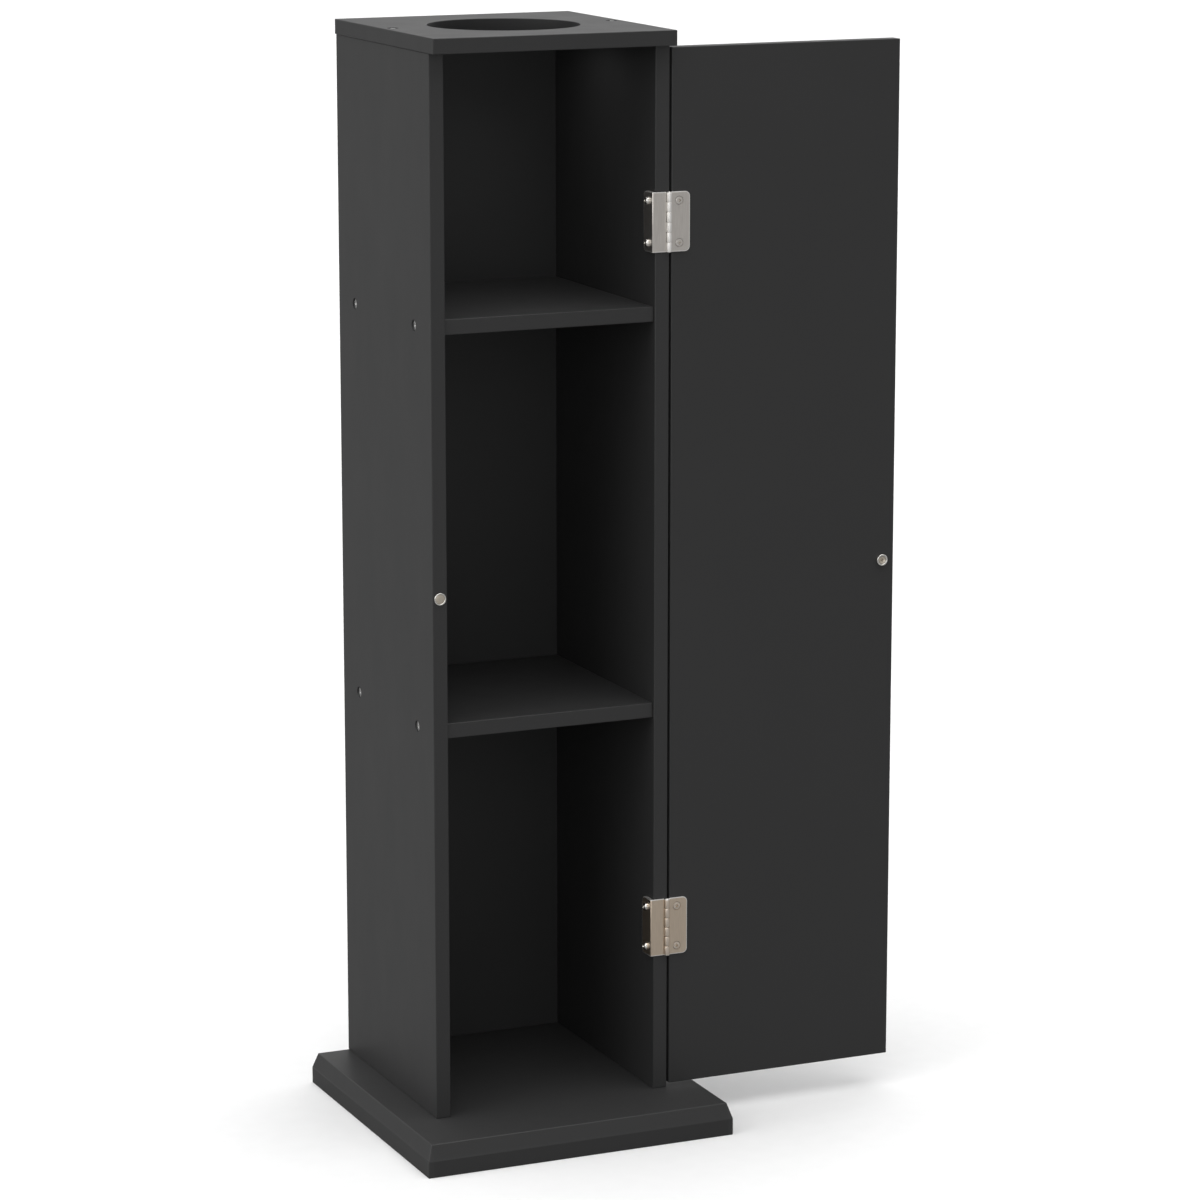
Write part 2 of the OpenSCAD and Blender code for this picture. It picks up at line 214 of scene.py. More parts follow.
def boardArrisGroup(form):
    group, given, result = startGroup(
        "boardArris", ["Worn", "CutEdge"], Centre=(0, 0, 0), Half=(1, 1, 1), Thin=(0, 0, 1), Width=1.0 * mm
    )
    past = pastCorner(group, given["Point"], given["Centre"], given["Half"])
    x, y, z = splitVector(group, past)
    low = calc(group, "MINIMUM", x, y)
    high = calc(group, "MAXIMUM", x, y)
    second = calc(group, "MAXIMUM", low, calc(group, "MINIMUM", high, z))
    ragged = noise(group, given["Point"], *form["ragged"])
    wander = spread(group, ragged, *form["raggedSpan"], *form["reachSpan"])
    reach = calc(group, "MULTIPLY", given["Width"], wander)
    near = calc(group, "DIVIDE", calc(group, "ADD", second, reach), reach, clamp=True)
    feed(group, result["Worn"], near)
    depth = vectorCalc(group, "DOT_PRODUCT", past, given["Thin"])
    feed(group, result["CutEdge"], spread(group, depth, *form["cutEdgeSpan"], 1.0, 0.0))
    return group


# Fine dust that settles on faces turned upwards
settledDustForm = {
    "upSpan": (0.35, 0.95),
    "patch": (34.0, 5.0, 0.62),
    "patchSpan": (0.35, 0.75),
    "leastPatch": 0.7,
    "speck": (1500.0, 1.0, 0.5),
    "speckSpan": (0.55, 0.72),
    "leastSpeck": 0.6,
}


def settledDustGroup(form):
    group, given, result = startGroup("settledDust", ["Mask"])
    point = given["Point"]
    normal = splitVector(group, addNode(group, "ShaderNodeNewGeometry").outputs["Normal"])
    up = spread(group, normal[2], *form["upSpan"])
    patches = spread(group, noise(group, point, *form["patch"]), *form["patchSpan"], form["leastPatch"])
    specks = spread(group, noise(group, point, *form["speck"]), *form["speckSpan"], form["leastSpeck"])
    feed(group, result["Mask"], calc(group, "MULTIPLY", up, calc(group, "MULTIPLY", patches, specks)))
    return group


# Brushed or rolled metal: long fine streaks one way, soft blotches over them
brushedGrainForm = {
    "streak": (2400.0, 3.0, 0.6),
    "blotch": (210.0, 3.0, 0.55),
    "streakSpan": (0.25, 0.75),
    "glossSpan": (0.3, 0.7),
    "blotchInGloss": 0.5,
}


def brushedGrainGroup(form):
    group, given, result = startGroup("brushedGrain", ["Tone", "Gloss", "Height"], Stretch=(1, 1, 0.03))
    along = stretched(group, given["Point"], given["Stretch"])
    streak = noise(group, along, *form["streak"])
    blotch = noise(group, given["Point"], *form["blotch"])
    feed(group, result["Tone"], spread(group, streak, *form["streakSpan"]))
    gloss = blendValue(group, form["blotchInGloss"], streak, blotch)
    feed(group, result["Gloss"], spread(group, gloss, *form["glossSpan"]))
    feed(group, result["Height"], streak)
    return group


# The rim of a rounded plate, polished and painted lighter as a painted highlight line: how near a point is to
# the outline with the given corner radius
rimHighlightForm = {"fullFrom": 0.5}


def rimHighlightGroup(form):
    group, given, result = startGroup(
        "polishedRimAndHighlight", ["Rim"], Centre=(0, 0, 0), Inner=(1, 1, 1), Corner=4.0 * mm, Width=0.6 * mm
    )
    past = pastCorner(group, given["Point"], given["Centre"], given["Inner"])
    reach = vectorCalc(group, "LENGTH", vectorCalc(group, "MAXIMUM", past, (0, 0, 0)))
    start = calc(group, "SUBTRACT", given["Corner"], given["Width"])
    share = calc(group, "DIVIDE", calc(group, "SUBTRACT", reach, start), given["Width"])
    feed(group, result["Rim"], spread(group, share, 0.0, form["fullFrom"]))
    return group


# Metal rubbed bright on a barrel and painted lighter as a painted highlight: how near a point is to an
# upright axis, as a share of the radius
barrelHighlightForm = {"none": 1.2, "full": 1.02}


def barrelHighlightGroup(form):
    group, given, result = startGroup("rubbedBarrelAndHighlight", ["Rub"], Axis=(0, 0, 0), Radius=2.0 * mm)
    inward = vectorCalc(group, "SUBTRACT", given["Point"], given["Axis"])
    reach = vectorCalc(group, "LENGTH", vectorCalc(group, "MULTIPLY", inward, (1, 1, 0)))
    share = calc(group, "DIVIDE", reach, given["Radius"])
    feed(group, result["Rub"], spread(group, share, form["none"], form["full"]))
    return group


paintSkin = paintSkinGroup(paintSkinForm)
boardArris = boardArrisGroup(boardArrisForm)
settledDust = settledDustGroup(settledDustForm)
brushedGrain = brushedGrainGroup(brushedGrainForm)
polishedRimAndHighlight = rimHighlightGroup(rimHighlightForm)
rubbedBarrelAndHighlight = barrelHighlightGroup(barrelHighlightForm)
print("shared effects made")


def startMaterial(name):
    material = bpy.data.materials.new(name)
    material.use_nodes = True
    tree = material.node_tree
    shader = tree.nodes["Principled BSDF"]
    point = addNode(tree, "ShaderNodeTexCoord").outputs["Object"]
    return material, tree, shader, point


def addBump(tree, shader, height, distance):
    bump = addNode(tree, "ShaderNodeBump")
    bump.inputs["Distance"].default_value = distance
    bump.inputs["Strength"].default_value = 1.0
    feed(tree, bump.inputs["Height"], height)
    feed(tree, shader.inputs["Normal"], bump.outputs[0])


charcoalPaint = {
    "dark": (0.029, 0.029, 0.0292, 1),
    "light": (0.035, 0.035, 0.0352, 1),
    "worn": (0.07, 0.07, 0.0705, 1),
    "wornAmount": 0.13,
    "wornWidth": 0.6 * mm,
    "dust": (0.11, 0.11, 0.108, 1),
    "dustAmount": 0.08,
    "cutEdge": (0.034, 0.034, 0.0342, 1),
    "cutEdgeAmount": 0.5,
    "cutEdgeMatt": 0.08,
    "fibres": (420.0, 3.0, 0.6),
    "fibreShort": 9,
    "roughLow": 0.455,
    "roughHigh": 0.495,
    "specular": 0.32,
    "peelHeight": 0.03 * mm,
}


# Paint for one board, whose arrises come from the boxes (low, high) that its shape is made of
def paintedBoard(name, boxes, thin, paint):
    material, tree, shader, point = startMaterial(name)
    skin = placeGroup(tree, paintSkin, Point=point)
    colour = blendColour(tree, skin["Tone"], paint["dark"], paint["light"])
    worn, cutEdge = 0.0, 0.0
    for low, high in boxes:
        arris = placeGroup(
            tree, boardArris, Point=point, Centre=(low + high) / 2, Half=(high - low) / 2, Thin=thin,
            Width=paint["wornWidth"],
        )
        worn = calc(tree, "MAXIMUM", arris["Worn"], worn)
        cutEdge = calc(tree, "MAXIMUM", arris["CutEdge"], cutEdge)
    edgeShare = calc(tree, "MULTIPLY", cutEdge, paint["cutEdgeAmount"])
    colour = blendColour(tree, edgeShare, colour, paint["cutEdge"])
    colour = blendColour(tree, calc(tree, "MULTIPLY", worn, paint["wornAmount"]), colour, paint["worn"])
    fallen = placeGroup(tree, settledDust, Point=point)["Mask"]
    colour = blendColour(tree, calc(tree, "MULTIPLY", fallen, paint["dustAmount"]), colour, paint["dust"])
    feed(tree, shader.inputs["Base Color"], colour)
    rough = spread(tree, skin["Gloss"], 0.0, 1.0, paint["roughHigh"], paint["roughLow"])
    matt = calc(tree, "MULTIPLY", edgeShare, paint["cutEdgeMatt"])
    feed(tree, shader.inputs["Roughness"], calc(tree, "ADD", rough, matt))
    shader.inputs["Specular IOR Level"].default_value = paint["specular"]
    across = Vector((1, 1, 1)) + paint["fibreShort"] * Vector(thin)
    fibres = noise(tree, stretched(tree, point, across), *paint["fibres"])
    height = calc(tree, "ADD", skin["Height"], calc(tree, "MULTIPLY", fibres, edgeShare))
    addBump(tree, shader, height, paint["peelHeight"])
    return material


# Plating, with a polished rim and a rubbed barrel painted lighter where their places are given: partly real
# polish and rubbing, partly painted highlight
def platedMetal(name, look, rim=None, barrel=None):
    material, tree, shader, point = startMaterial(name)
    grain = placeGroup(tree, brushedGrain, Point=point, Stretch=look["stretch"])
    colour = blendColour(tree, grain["Tone"], look["dark"], look["light"])
    rough = spread(tree, grain["Gloss"], 0, 1, look["roughHigh"], look["roughLow"])
    if rim:
        rimPolishAndHighlight = placeGroup(tree, polishedRimAndHighlight, Point=point, **rim)["Rim"]
        colour = blendColour(tree, calc(tree, "MULTIPLY", rimPolishAndHighlight, look["rimAmount"]), colour, look["rim"])
        rough = calc(tree, "ADD", rough, calc(tree, "MULTIPLY", rimPolishAndHighlight, look["rimMatt"]))
    if barrel:
        rub = placeGroup(tree, rubbedBarrelAndHighlight, Point=point, **barrel)["Rub"]
        colour = blendColour(tree, calc(tree, "MULTIPLY", rub, look["rubAndHighlightAmount"]), colour, look["rim"])
        rough = calc(tree, "ADD", rough, calc(tree, "MULTIPLY", rub, look["rubMatt"]))
    feed(tree, shader.inputs["Base Color"], colour)
    feed(tree, shader.inputs["Roughness"], rough)
    shader.inputs["Metallic"].default_value = 1.0
    addBump(tree, shader, grain["Height"], look["grainHeight"])
    return material


# The rim colour is painted lighter than the plate: a painted highlight over the real polish of leaf edges and
# barrels
satinNickel = {
    "dark": (0.66, 0.62, 0.58, 1),
    "light": (0.80, 0.76, 0.715, 1),
    "screwHighlightTone": (0.90, 0.86, 0.80, 1),
    "rim": (0.98, 0.96, 0.93, 1),
    "rimAmount": 1.0,
    "rimMatt": 0.12,
    "rubAndHighlightAmount": 1.0,
    "rubMatt": 0.16,
    "roughLow": 0.3,
    "roughHigh": 0.42,
    "stretch": (1.0, 1.0, 0.03),
    "grainHeight": 0.004 * mm,
}
# The lower hinge takes only a little of the barrel's painted highlight
warmNickel = {
    **satinNickel,
    "dark": (0.66, 0.55, 0.435, 1),
    "light": (0.79, 0.665, 0.535, 1),
    "screwHighlightTone": (0.96, 0.87, 0.76, 1),
    "rubAndHighlightAmount": 0.2,
    "rubMatt": 0.0,
}
hingeLooks = {"upper": satinNickel, "lower": warmNickel}
brightNickel = {
    "dark": (0.72, 0.70, 0.66, 1),
    "light": (0.86, 0.84, 0.80, 1),
    "roughLow": 0.16,
    "roughHigh": 0.28,
    "stretch": (0.6, 0.6, 0.6),
    "grainHeight": 0.002 * mm,
}
magnetPlate = {
    "dark": (0.60, 0.54, 0.45, 1),
    "light": (0.74, 0.67, 0.57, 1),
    "roughLow": 0.3,
    "roughHigh": 0.45,
    "stretch": (1.0, 1.0, 0.2),
    "grainHeight": 0.004 * mm,
}
zincPlate = {
    "dark": (0.66, 0.66, 0.65, 1),
    "light": (0.82, 0.82, 0.81, 1),
    "roughLow": 0.3,
    "roughHigh": 0.45,
    "stretch": (0.5, 0.5, 0.5),
    "grainHeight": 0.006 * mm,
}
screwMetal = platedMetal("screwBrightNickel", brightNickel)
# Screw heads in the leaves are painted lighter than their leaf: a painted highlight on the heads
leafScrewLook = {"roughLow": 0.2, "roughHigh": 0.3, "stretch": (0.5, 0.5, 0.5)}
leafScrewMetals = {
    hinge: platedMetal(hinge + "LeafScrewNickel", {**look, **leafScrewLook, "light": look["screwHighlightTone"]})
    for hinge, look in hingeLooks.items()
}
magnetMetal = platedMetal("magnetFacePlate", magnetPlate)
zincMetal = platedMetal("boardScrewZinc", zincPlate)

beechLook = {
    "pale": (0.62, 0.43, 0.25, 1),
    "deep": (0.47, 0.29, 0.15, 1),
    "grain": (900.0, 4.0, 0.6),
    "grainSpan": (0.3, 0.7),
    "stretch": (1.0, 1.0, 0.05),
    "roughLow": 0.6,
    "roughHigh": 0.8,
    "grainHeight": 0.03 * mm,
}


def beechWood(look):
    material, tree, shader, point = startMaterial("dowelBeech")
    grain = noise(tree, stretched(tree, point, look["stretch"]), *look["grain"])
    colour = blendColour(tree, spread(tree, grain, *look["grainSpan"]), look["pale"], look["deep"])
    feed(tree, shader.inputs["Base Color"], colour)
    feed(tree, shader.inputs["Roughness"], spread(tree, grain, 0, 1, look["roughLow"], look["roughHigh"]))
    addBump(tree, shader, grain, look["grainHeight"])
    return material


dowelWood = beechWood(beechLook)
print("materials made")


# Small helpers for shapes. Sizes in the dictionaries below are millimetres, and these two are metres
mergeWithin = 1e-7
touching = 1e-6
smoothUnder = math.radians(38)
overcut = 1.0  # millimetres that a cutter stands out of the face that it enters


def boxShape(low, high):
    bm = bmesh.new()
    bmesh.ops.create_cube(bm, size=1.0)
    bmesh.ops.scale(bm, vec=high - low, verts=bm.verts)
    bmesh.ops.translate(bm, vec=(low + high) / 2, verts=bm.verts)
    return bm


def softenEdges(bm, edges, width, steps):
    bmesh.ops.bevel(
        bm, geom=edges, offset=width, offset_type="OFFSET", segments=steps, profile=0.5,
        affect="EDGES", material=-1,
    )


def sharpEdges(bm, least=40):
    return [e for e in bm.edges if e.is_manifold and e.calc_face_angle_signed(0) > math.radians(least)]


# Faces are extruded, and the new points moved by a vector
def extrude(bm, faces, move, keepOriginal=True):
    made = bmesh.ops.extrude_face_region(bm, geom=faces, use_keep_orig=keepOriginal)["geom"]
    verts = [part for part in made if isinstance(part, bmesh.types.BMVert)]
    bmesh.ops.translate(bm, vec=move, verts=verts)
    return verts


def alike(first, second):
    return abs(first - second) < touching


def asMesh(bm, name="shape"):
    bmesh.ops.remove_doubles(bm, verts=bm.verts, dist=mergeWithin)
    bmesh.ops.recalc_face_normals(bm, faces=bm.faces)
    mesh = bpy.data.meshes.new(name)
    bm.to_mesh(mesh)
    bm.free()
    return mesh


# Three points that round the outer corner of a turned profile
def roundedCorner(radius, top, soft):
    return [(radius - soft, top), (radius - soft * 0.3, top - soft * 0.3), (radius, top - soft)]


# A profile of (radius, height) points in millimetres, turned round its own Z axis
def turned(profile, steps=32):
    bm = bmesh.new()
    verts = [bm.verts.new((r * mm, 0, z * mm)) for r, z in profile]
    edges = [bm.edges.new(pair) for pair in zip(verts, verts[1:])]
    bmesh.ops.spin(
        bm, geom=verts + edges, cent=(0, 0, 0), axis=(0, 0, 1), dvec=(0, 0, 0), angle=2 * math.pi,
        steps=steps, use_merge=True, use_duplicate=False,
    )
    return asMesh(bm)


def copiesOf(mesh, places):
    bm = bmesh.new()
    for place in places:
        before = len(bm.verts)
        bm.from_mesh(mesh)
        bm.verts.ensure_lookup_table()
        bmesh.ops.transform(bm, matrix=place, verts=bm.verts[before:])
    return bm


# The mesh after a tool shape is cut from it or joined to it
def combined(mesh, tool, how="DIFFERENCE"):
    body, other = inScene("body", mesh), inScene("tool", tool)
    change = body.modifiers.new("change", "BOOLEAN")
    change.operation = how
    change.solver = "EXACT"
    change.object = other
    seen = bpy.context.evaluated_depsgraph_get()
    result = bpy.data.meshes.new_from_object(body.evaluated_get(seen))
    for thing in (body, other):
        bpy.data.objects.remove(thing)
    return result


def cutAt(mesh, shape, places):
    return combined(mesh, asMesh(copiesOf(shape, places)))


def facing(place, direction, turn=0.0):
    aim = Vector(direction).to_track_quat("Z", "Y").to_matrix().to_4x4()
    return Matrix.Translation(Vector(place) * mm) @ aim @ Matrix.Rotation(turn, 4, "Z")


# Faces larger than flatArea square millimetres are flat, and the small ones of rounded forms are smooth.
# The wall of a round hole, where given, gets its own darker paint: painted shade inside the hole
def addPiece(node, mesh, material, body, flatArea=20.0, shadedHole=None):
    first, *others = node.split("_")
    name = mesh.name = first + "".join(part.capitalize() for part in others)
    mesh.materials.clear()
    mesh.materials.append(material)
    if shadedHole:
        mesh.materials.append(shadedHole["material"])
    mesh.set_sharp_from_angle(angle=smoothUnder)
    for face in mesh.polygons:
        if shadedHole:
            reach = (face.center.xy - shadedHole["middle"].xy).length
            face.material_index = int(reach < shadedHole["radius"] and abs(face.normal.z) < shadedHole["steep"])
        face.use_smooth = face.area < flatArea * mm * mm
    piece = inScene(name, mesh)
    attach(piece, body)
    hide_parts(node)
    return piece


# Places that several pieces share, as in the construction (millimetres)
plan = {
    "outerX": 100.0,
    "innerX": 88.0,
    "frontY": -70.5,
    "backY": 127.5,
    "panelY": 124.5,
    "baseTop": 26.0,
    "underTop": 866.0,
    "topFace": 878.0,
    "middleY": 22.5,
    "shelfZ": (334.0, 651.0),
    "hingeZ": {"lower": 161.0, "upper": 729.0},
    "axisX": 99.0,
    "axisY": -72.7,
    "catchZ": 446.0,
    "magnetX": -94.0,
    "strikeX": 289.0,
}
shelfScrews = {"inFromEdge": 35.0, "overUnderside": 4.0, "sunk": 1.2}
topScrews = {"x": 92.4, "sunk": 0.8}
baseScrews = {"x": 94.0, "inFromEdge": 40.0, "up": 4.0}
nailRow = {"x": 91.0, "first": 60.0, "count": 4, "rise": 840.0}
dowelRow = {"x": 94.0, "inFromEdge": 40.0, "topStart": 844.0, "baseStart": 11.0, "long": 30.0, "wide": 6.0}
leafScrews = {"pitch": 33.0, "frameX": 85.0, "frameY": -63.7, "doorX": 108.0, "doorY": -71.7}
headTurns = random.Random(7)


def edgeYs(inset):
    return plan["frontY"] + inset, plan["backY"] - inset


def turnedAtRandom(places, direction):
    return [facing(place, direction, headTurns.uniform(0, math.pi)) for place in places]


shelfScrewPlaces = {
    side: turnedAtRandom(
        [
            (side * (plan["outerX"] - shelfScrews["sunk"]), y, z + shelfScrews["overUnderside"])
            for z in plan["shelfZ"] for y in edgeYs(shelfScrews["inFromEdge"])
        ],
        (side, 0, 0),
    )
    for side in (left, right)
}
topScrewPlaces = turnedAtRandom(
    [(side * topScrews["x"], plan["middleY"], plan["topFace"] - topScrews["sunk"]) for side in (left, right)],
    toTop,
)
baseScrewPlaces = turnedAtRandom(
    [
        (side * baseScrews["x"], y, baseScrews["up"])
        for side in (left, right) for y in edgeYs(baseScrews["inFromEdge"])
    ],
    toFloor,
)
nailPlaces = [
    facing(
        (
            side * nailRow["x"], plan["backY"],
            plan["baseTop"] + nailRow["first"]
            + i * (nailRow["rise"] - 2 * nailRow["first"]) / (nailRow["count"] - 1),
        ),
        (0, 1, 0),
    )
    for side in (left, right) for i in range(nailRow["count"])
]
topDowelPlaces = [
    facing((side * dowelRow["x"], y, dowelRow["topStart"]), toTop)
    for side in (left, right) for y in edgeYs(dowelRow["inFromEdge"])
]
baseDowelPlaces = [
    facing((side * dowelRow["x"], (plan["frontY"] + plan["backY"]) / 2, dowelRow["baseStart"]), toTop)
    for side in (left, right)
]


def leafScrewPlaces(hinge, x, y, direction):
    middle = plan["hingeZ"][hinge]
    return turnedAtRandom(
        [(x, y, middle + rise) for rise in (-leafScrews["pitch"] / 2, leafScrews["pitch"] / 2)], direction
    )


frameScrewPlaces = {
    hinge: leafScrewPlaces(hinge, leafScrews["frameX"], leafScrews["frameY"], (-1, 0, 0))
    for hinge in plan["hingeZ"]
}
doorScrewPlaces = {
    hinge: leafScrewPlaces(hinge, leafScrews["doorX"], leafScrews["doorY"], toFront)
    for hinge in plan["hingeZ"]
}
magnetPlace = facing((plan["magnetX"], plan["frontY"], plan["catchZ"]), toFront)
strikePlace = facing((plan["strikeX"], plan["frontY"], plan["catchZ"]), toFront)


# Countersunk screws: the head's face is at height 0 and the point is down
screwSizes = {
    "board": {"head": 8.4, "shank": 4.0, "long": 34.0},
    "top": {"head": 8.4, "shank": 4.0, "long": 34.0, "crown": 0.7},
    "base": {"head": 8.4, "shank": 4.0, "long": 50.0},
    "leaf": {"head": 6.2, "shank": 3.0, "long": 10.0, "crown": 0.4},
    "strike": {"head": 5.8, "shank": 3.0, "long": 10.0, "crown": -0.8},
}
screwForm = {
    "rim": 0.4, "rimRound": 0.12, "crownSteps": 6, "mouthGap": 0.32, "mouthUp": 6.0, "fit": 0.05,
    "tipGap": 1.0,
}
crossForm = {"long": 0.58, "wide": 0.15, "deep": 0.2, "shorter": 0.45, "thinner": 0.7}


def crossTool(headWide, faceZ, turn):
    reach = headWide * crossForm["long"] / 2 * mm
    half = headWide * crossForm["wide"] / 2 * mm
    bm = boxShape(
        Vector((-reach, -half, (faceZ - headWide * crossForm["deep"]) * mm)),
        Vector((reach, half, (faceZ + overcut) * mm)),
    )
    foot = [v for v in bm.verts if v.co.z < faceZ * mm]
    bmesh.ops.scale(bm, vec=(crossForm["shorter"], crossForm["thinner"], 1), verts=foot)
    bmesh.ops.rotate(bm, cent=(0, 0, 0), matrix=Matrix.Rotation(turn, 3, "Z"), verts=bm.verts)
    return asMesh(bm)


def withCross(mesh, headWide, faceZ):
    for turn in (0, math.pi / 2):
        mesh = combined(mesh, crossTool(headWide, faceZ, turn))
    return mesh


# The face is flat, or stands up in a low crown or sinks in a dish where the size gives a crown
def flushScrew(size):
    head, shank, rim, soft = size["head"] / 2, size["shank"] / 2, screwForm["rim"], screwForm["rimRound"]
    crown, steps, foot = size.get("crown", 0.0), screwForm["crownSteps"], -size["long"]
    face = [(0, 0)]
    if crown:
        flat = head - soft * 2
        face = [(flat * i / steps, crown * (1 - (i / steps) ** 2)) for i in range(steps)]
    stem = [(head, -rim), (shank, -rim - head + shank), (shank, foot + shank), (shank / 2, foot), (0, foot)]
    return withCross(turned(face + roundedCorner(head, 0, soft) + stem), size["head"], crown)


def flushHole(size, up):
    mouth, hole = size["head"] / 2 + screwForm["mouthGap"], size["shank"] / 2 + screwForm["fit"]
    rim, deep = screwForm["rim"], -size["long"] - screwForm["tipGap"]
    return turned([(0, up), (mouth, up), (mouth, -rim), (hole, -rim - mouth + hole), (hole, deep), (0, deep)])


def plainHole(wide, deep):
    return turned([(0, overcut), (wide / 2, overcut), (wide / 2, -deep), (0, -deep)])


# Round-headed screws: a full dome over a low upright edge, and a small chamfer under it
roundHead = {
    "wide": 6.4, "tall": 3.0, "shank": 3.0, "long": 12.0, "edge": 0.12, "chamfer": 0.1, "outward": 0.9,
    "upward": 0.8, "steps": 9, "around": 40,
}


def roundScrew(size):
    wide, tall, shank, long = size["wide"] / 2, size["tall"], size["shank"] / 2, size["long"]
    edge, chamfer = size["edge"], size["chamfer"]
    dome = []
    for step in range(size["steps"]):
        angle = step / size["steps"] * math.pi / 2
        rise = edge + (1 - edge) * math.cos(angle) ** size["upward"]
        dome.append((wide * math.sin(angle) ** size["outward"], tall * rise))
    foot = [(wide, tall * edge), (wide, chamfer), (wide - chamfer, 0)]
    stem = [(shank, 0), (shank, -long + shank), (shank / 2, -long), (0, -long)]
    return withCross(turned(dome + foot + stem, size["around"]), size["wide"], tall)


screwMeshes = {kind: flushScrew(size) for kind, size in screwSizes.items()}
roundScrewMesh = roundScrew(roundHead)


def addCopies(name, mesh, places, material, body):
    addPiece(name, asMesh(copiesOf(mesh, places)), material, body)


for name, kind, places in (
    ("left_shelf_screws", "board", shelfScrewPlaces[left]),
    ("right_shelf_screws", "board", shelfScrewPlaces[right]),
    ("top_screws", "top", topScrewPlaces),
    ("base_screws", "base", baseScrewPlaces),
):
    addCopies(name, screwMeshes[kind], places, zincMetal, "carcass")
for hinge in plan["hingeZ"]:
    addCopies(
        hinge + "_frame_screws", roundScrewMesh, frameScrewPlaces[hinge], screwMetal, "carcass",
    )
    addCopies(
        hinge + "_door_screws", screwMeshes["leaf"], doorScrewPlaces[hinge], leafScrewMetals[hinge], "door",
    )
print("screws made")


# Back panel nails: thin shanks under slightly domed round heads
nailForm = {
    "head": 3.0, "tall": 0.5, "shank": 1.4, "long": 15.0, "tip": 2.0, "around": 24,
    "dome": ((0.5, 0.96), (0.85, 0.72), (1.0, 0.35)),
}


def nailShape(size):
    head, shank, tall, long = size["head"] / 2, size["shank"] / 2, size["tall"], size["long"]
    dome = [(head * out, tall * up) for out, up in size["dome"]]
    stem = [(head, 0), (shank, 0), (shank, -long + size["tip"]), (0, -long)]
    return turned([(0, tall)] + dome + stem, size["around"])


addCopies("back_nails", nailShape(nailForm), nailPlaces, screwMetal, "carcass")


# Fluted beech dowels with chamfered ends
dowelForm = {"flutes": 12, "fluteDeep": 0.25, "fluteSteps": 3, "chamfer": 0.8, "near": 0.1}


def dowelShape(row, form):
    radius, long, cut = row["wide"] / 2, row["long"], form["chamfer"]
    mesh = turned(
        [(0, 0), (radius - cut, 0), (radius, cut), (radius, long - cut), (radius - cut, long), (0, long)],
        steps=form["flutes"] * form["fluteSteps"],
    )
    bm = bmesh.new()
    bm.from_mesh(mesh)
    for v in bm.verts:
        around = math.atan2(v.co.y, v.co.x) / (2 * math.pi) * form["flutes"]
        onSide = v.co.xy.length > (radius - form["near"]) * mm
        if onSide and abs(around - round(around)) < form["near"]:
            v.co.xy *= 1 - form["fluteDeep"] / radius
    return asMesh(bm)


dowelMesh = dowelShape(dowelRow, dowelForm)
addCopies("top_dowels", dowelMesh, topDowelPlaces, dowelWood, "carcass")
addCopies("base_dowels", dowelMesh, baseDowelPlaces, dowelWood, "carcass")
print("nails and dowels made")


# Boards: each starts as the box of its own node, gets soft arrises, and then its holes
boardForm = {"arris": 0.6, "steps": 3, "rebateWide": 6.0, "flatArea": 300.0}
holeForm = {
    "wider": 0.1, "nailDeep": 16.0, "frameScrewDeep": 12.5, "magnetWide": 8.5, "magnetDeep": 8.0,
    "strikeScrewDeep": 8.0, "flangeDeep": 4.0,
}


def dowelHoleShape(row):
    radius, top = (row["wide"] + holeForm["wider"]) / 2, row["long"] + overcut
    return turned([(0, -overcut), (radius, -overcut), (radius, top), (0, top)])


boardHole = flushHole(screwSizes["board"], shelfScrews["sunk"] + overcut)
baseHole = flushHole(screwSizes["base"], screwForm["mouthUp"])
leafHole = flushHole(screwSizes["leaf"], overcut)
strikeHole = flushHole(screwSizes["strike"], overcut)
nailHole = plainHole(nailForm["shank"] + holeForm["wider"], holeForm["nailDeep"])
dowelHole = dowelHoleShape(dowelRow)
frameScrewHole = plainHole(roundHead["shank"] + holeForm["wider"], holeForm["frameScrewDeep"])
flangeHole = plainHole(roundHead["shank"] + holeForm["wider"], holeForm["flangeDeep"])
magnetHole = plainHole(holeForm["magnetWide"], holeForm["magnetDeep"])
strikeScrewHole = plainHole(screwSizes["strike"]["shank"] + holeForm["wider"], holeForm["strikeScrewDeep"])


def vectorMm(x, y, z):
    return Vector((x, y, z)) * mm


def rebateTool(side):
    inner, outer = plan["innerX"] - overcut, plan["innerX"] + boardForm["rebateWide"]
    xLow, xHigh = sorted((side * inner, side * outer))
    low = vectorMm(xLow, plan["panelY"], plan["baseTop"] - overcut)
    high = vectorMm(xHigh, plan["backY"] + overcut, plan["underTop"] + overcut)
    return asMesh(boxShape(low, high))


def nodeBox(name):
    return [Vector(corner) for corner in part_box(name)]


def paintOf(name, thin, boxes=None):
    return paintedBoard(name + "_paint", boxes or [nodeBox(name)], thin, charcoalPaint)


def addBoard(name, thin, cuts, body="carcass", shadedHole=None):
    bm = boxShape(*nodeBox(name))
    softenEdges(bm, list(bm.edges), boardForm["arris"] * mm, boardForm["steps"])
    mesh = asMesh(bm)
    for shape, places in cuts:
        mesh = cutAt(mesh, shape, places)
    addPiece(name, mesh, paintOf(name, thin), body, boardForm["flatArea"], shadedHole)


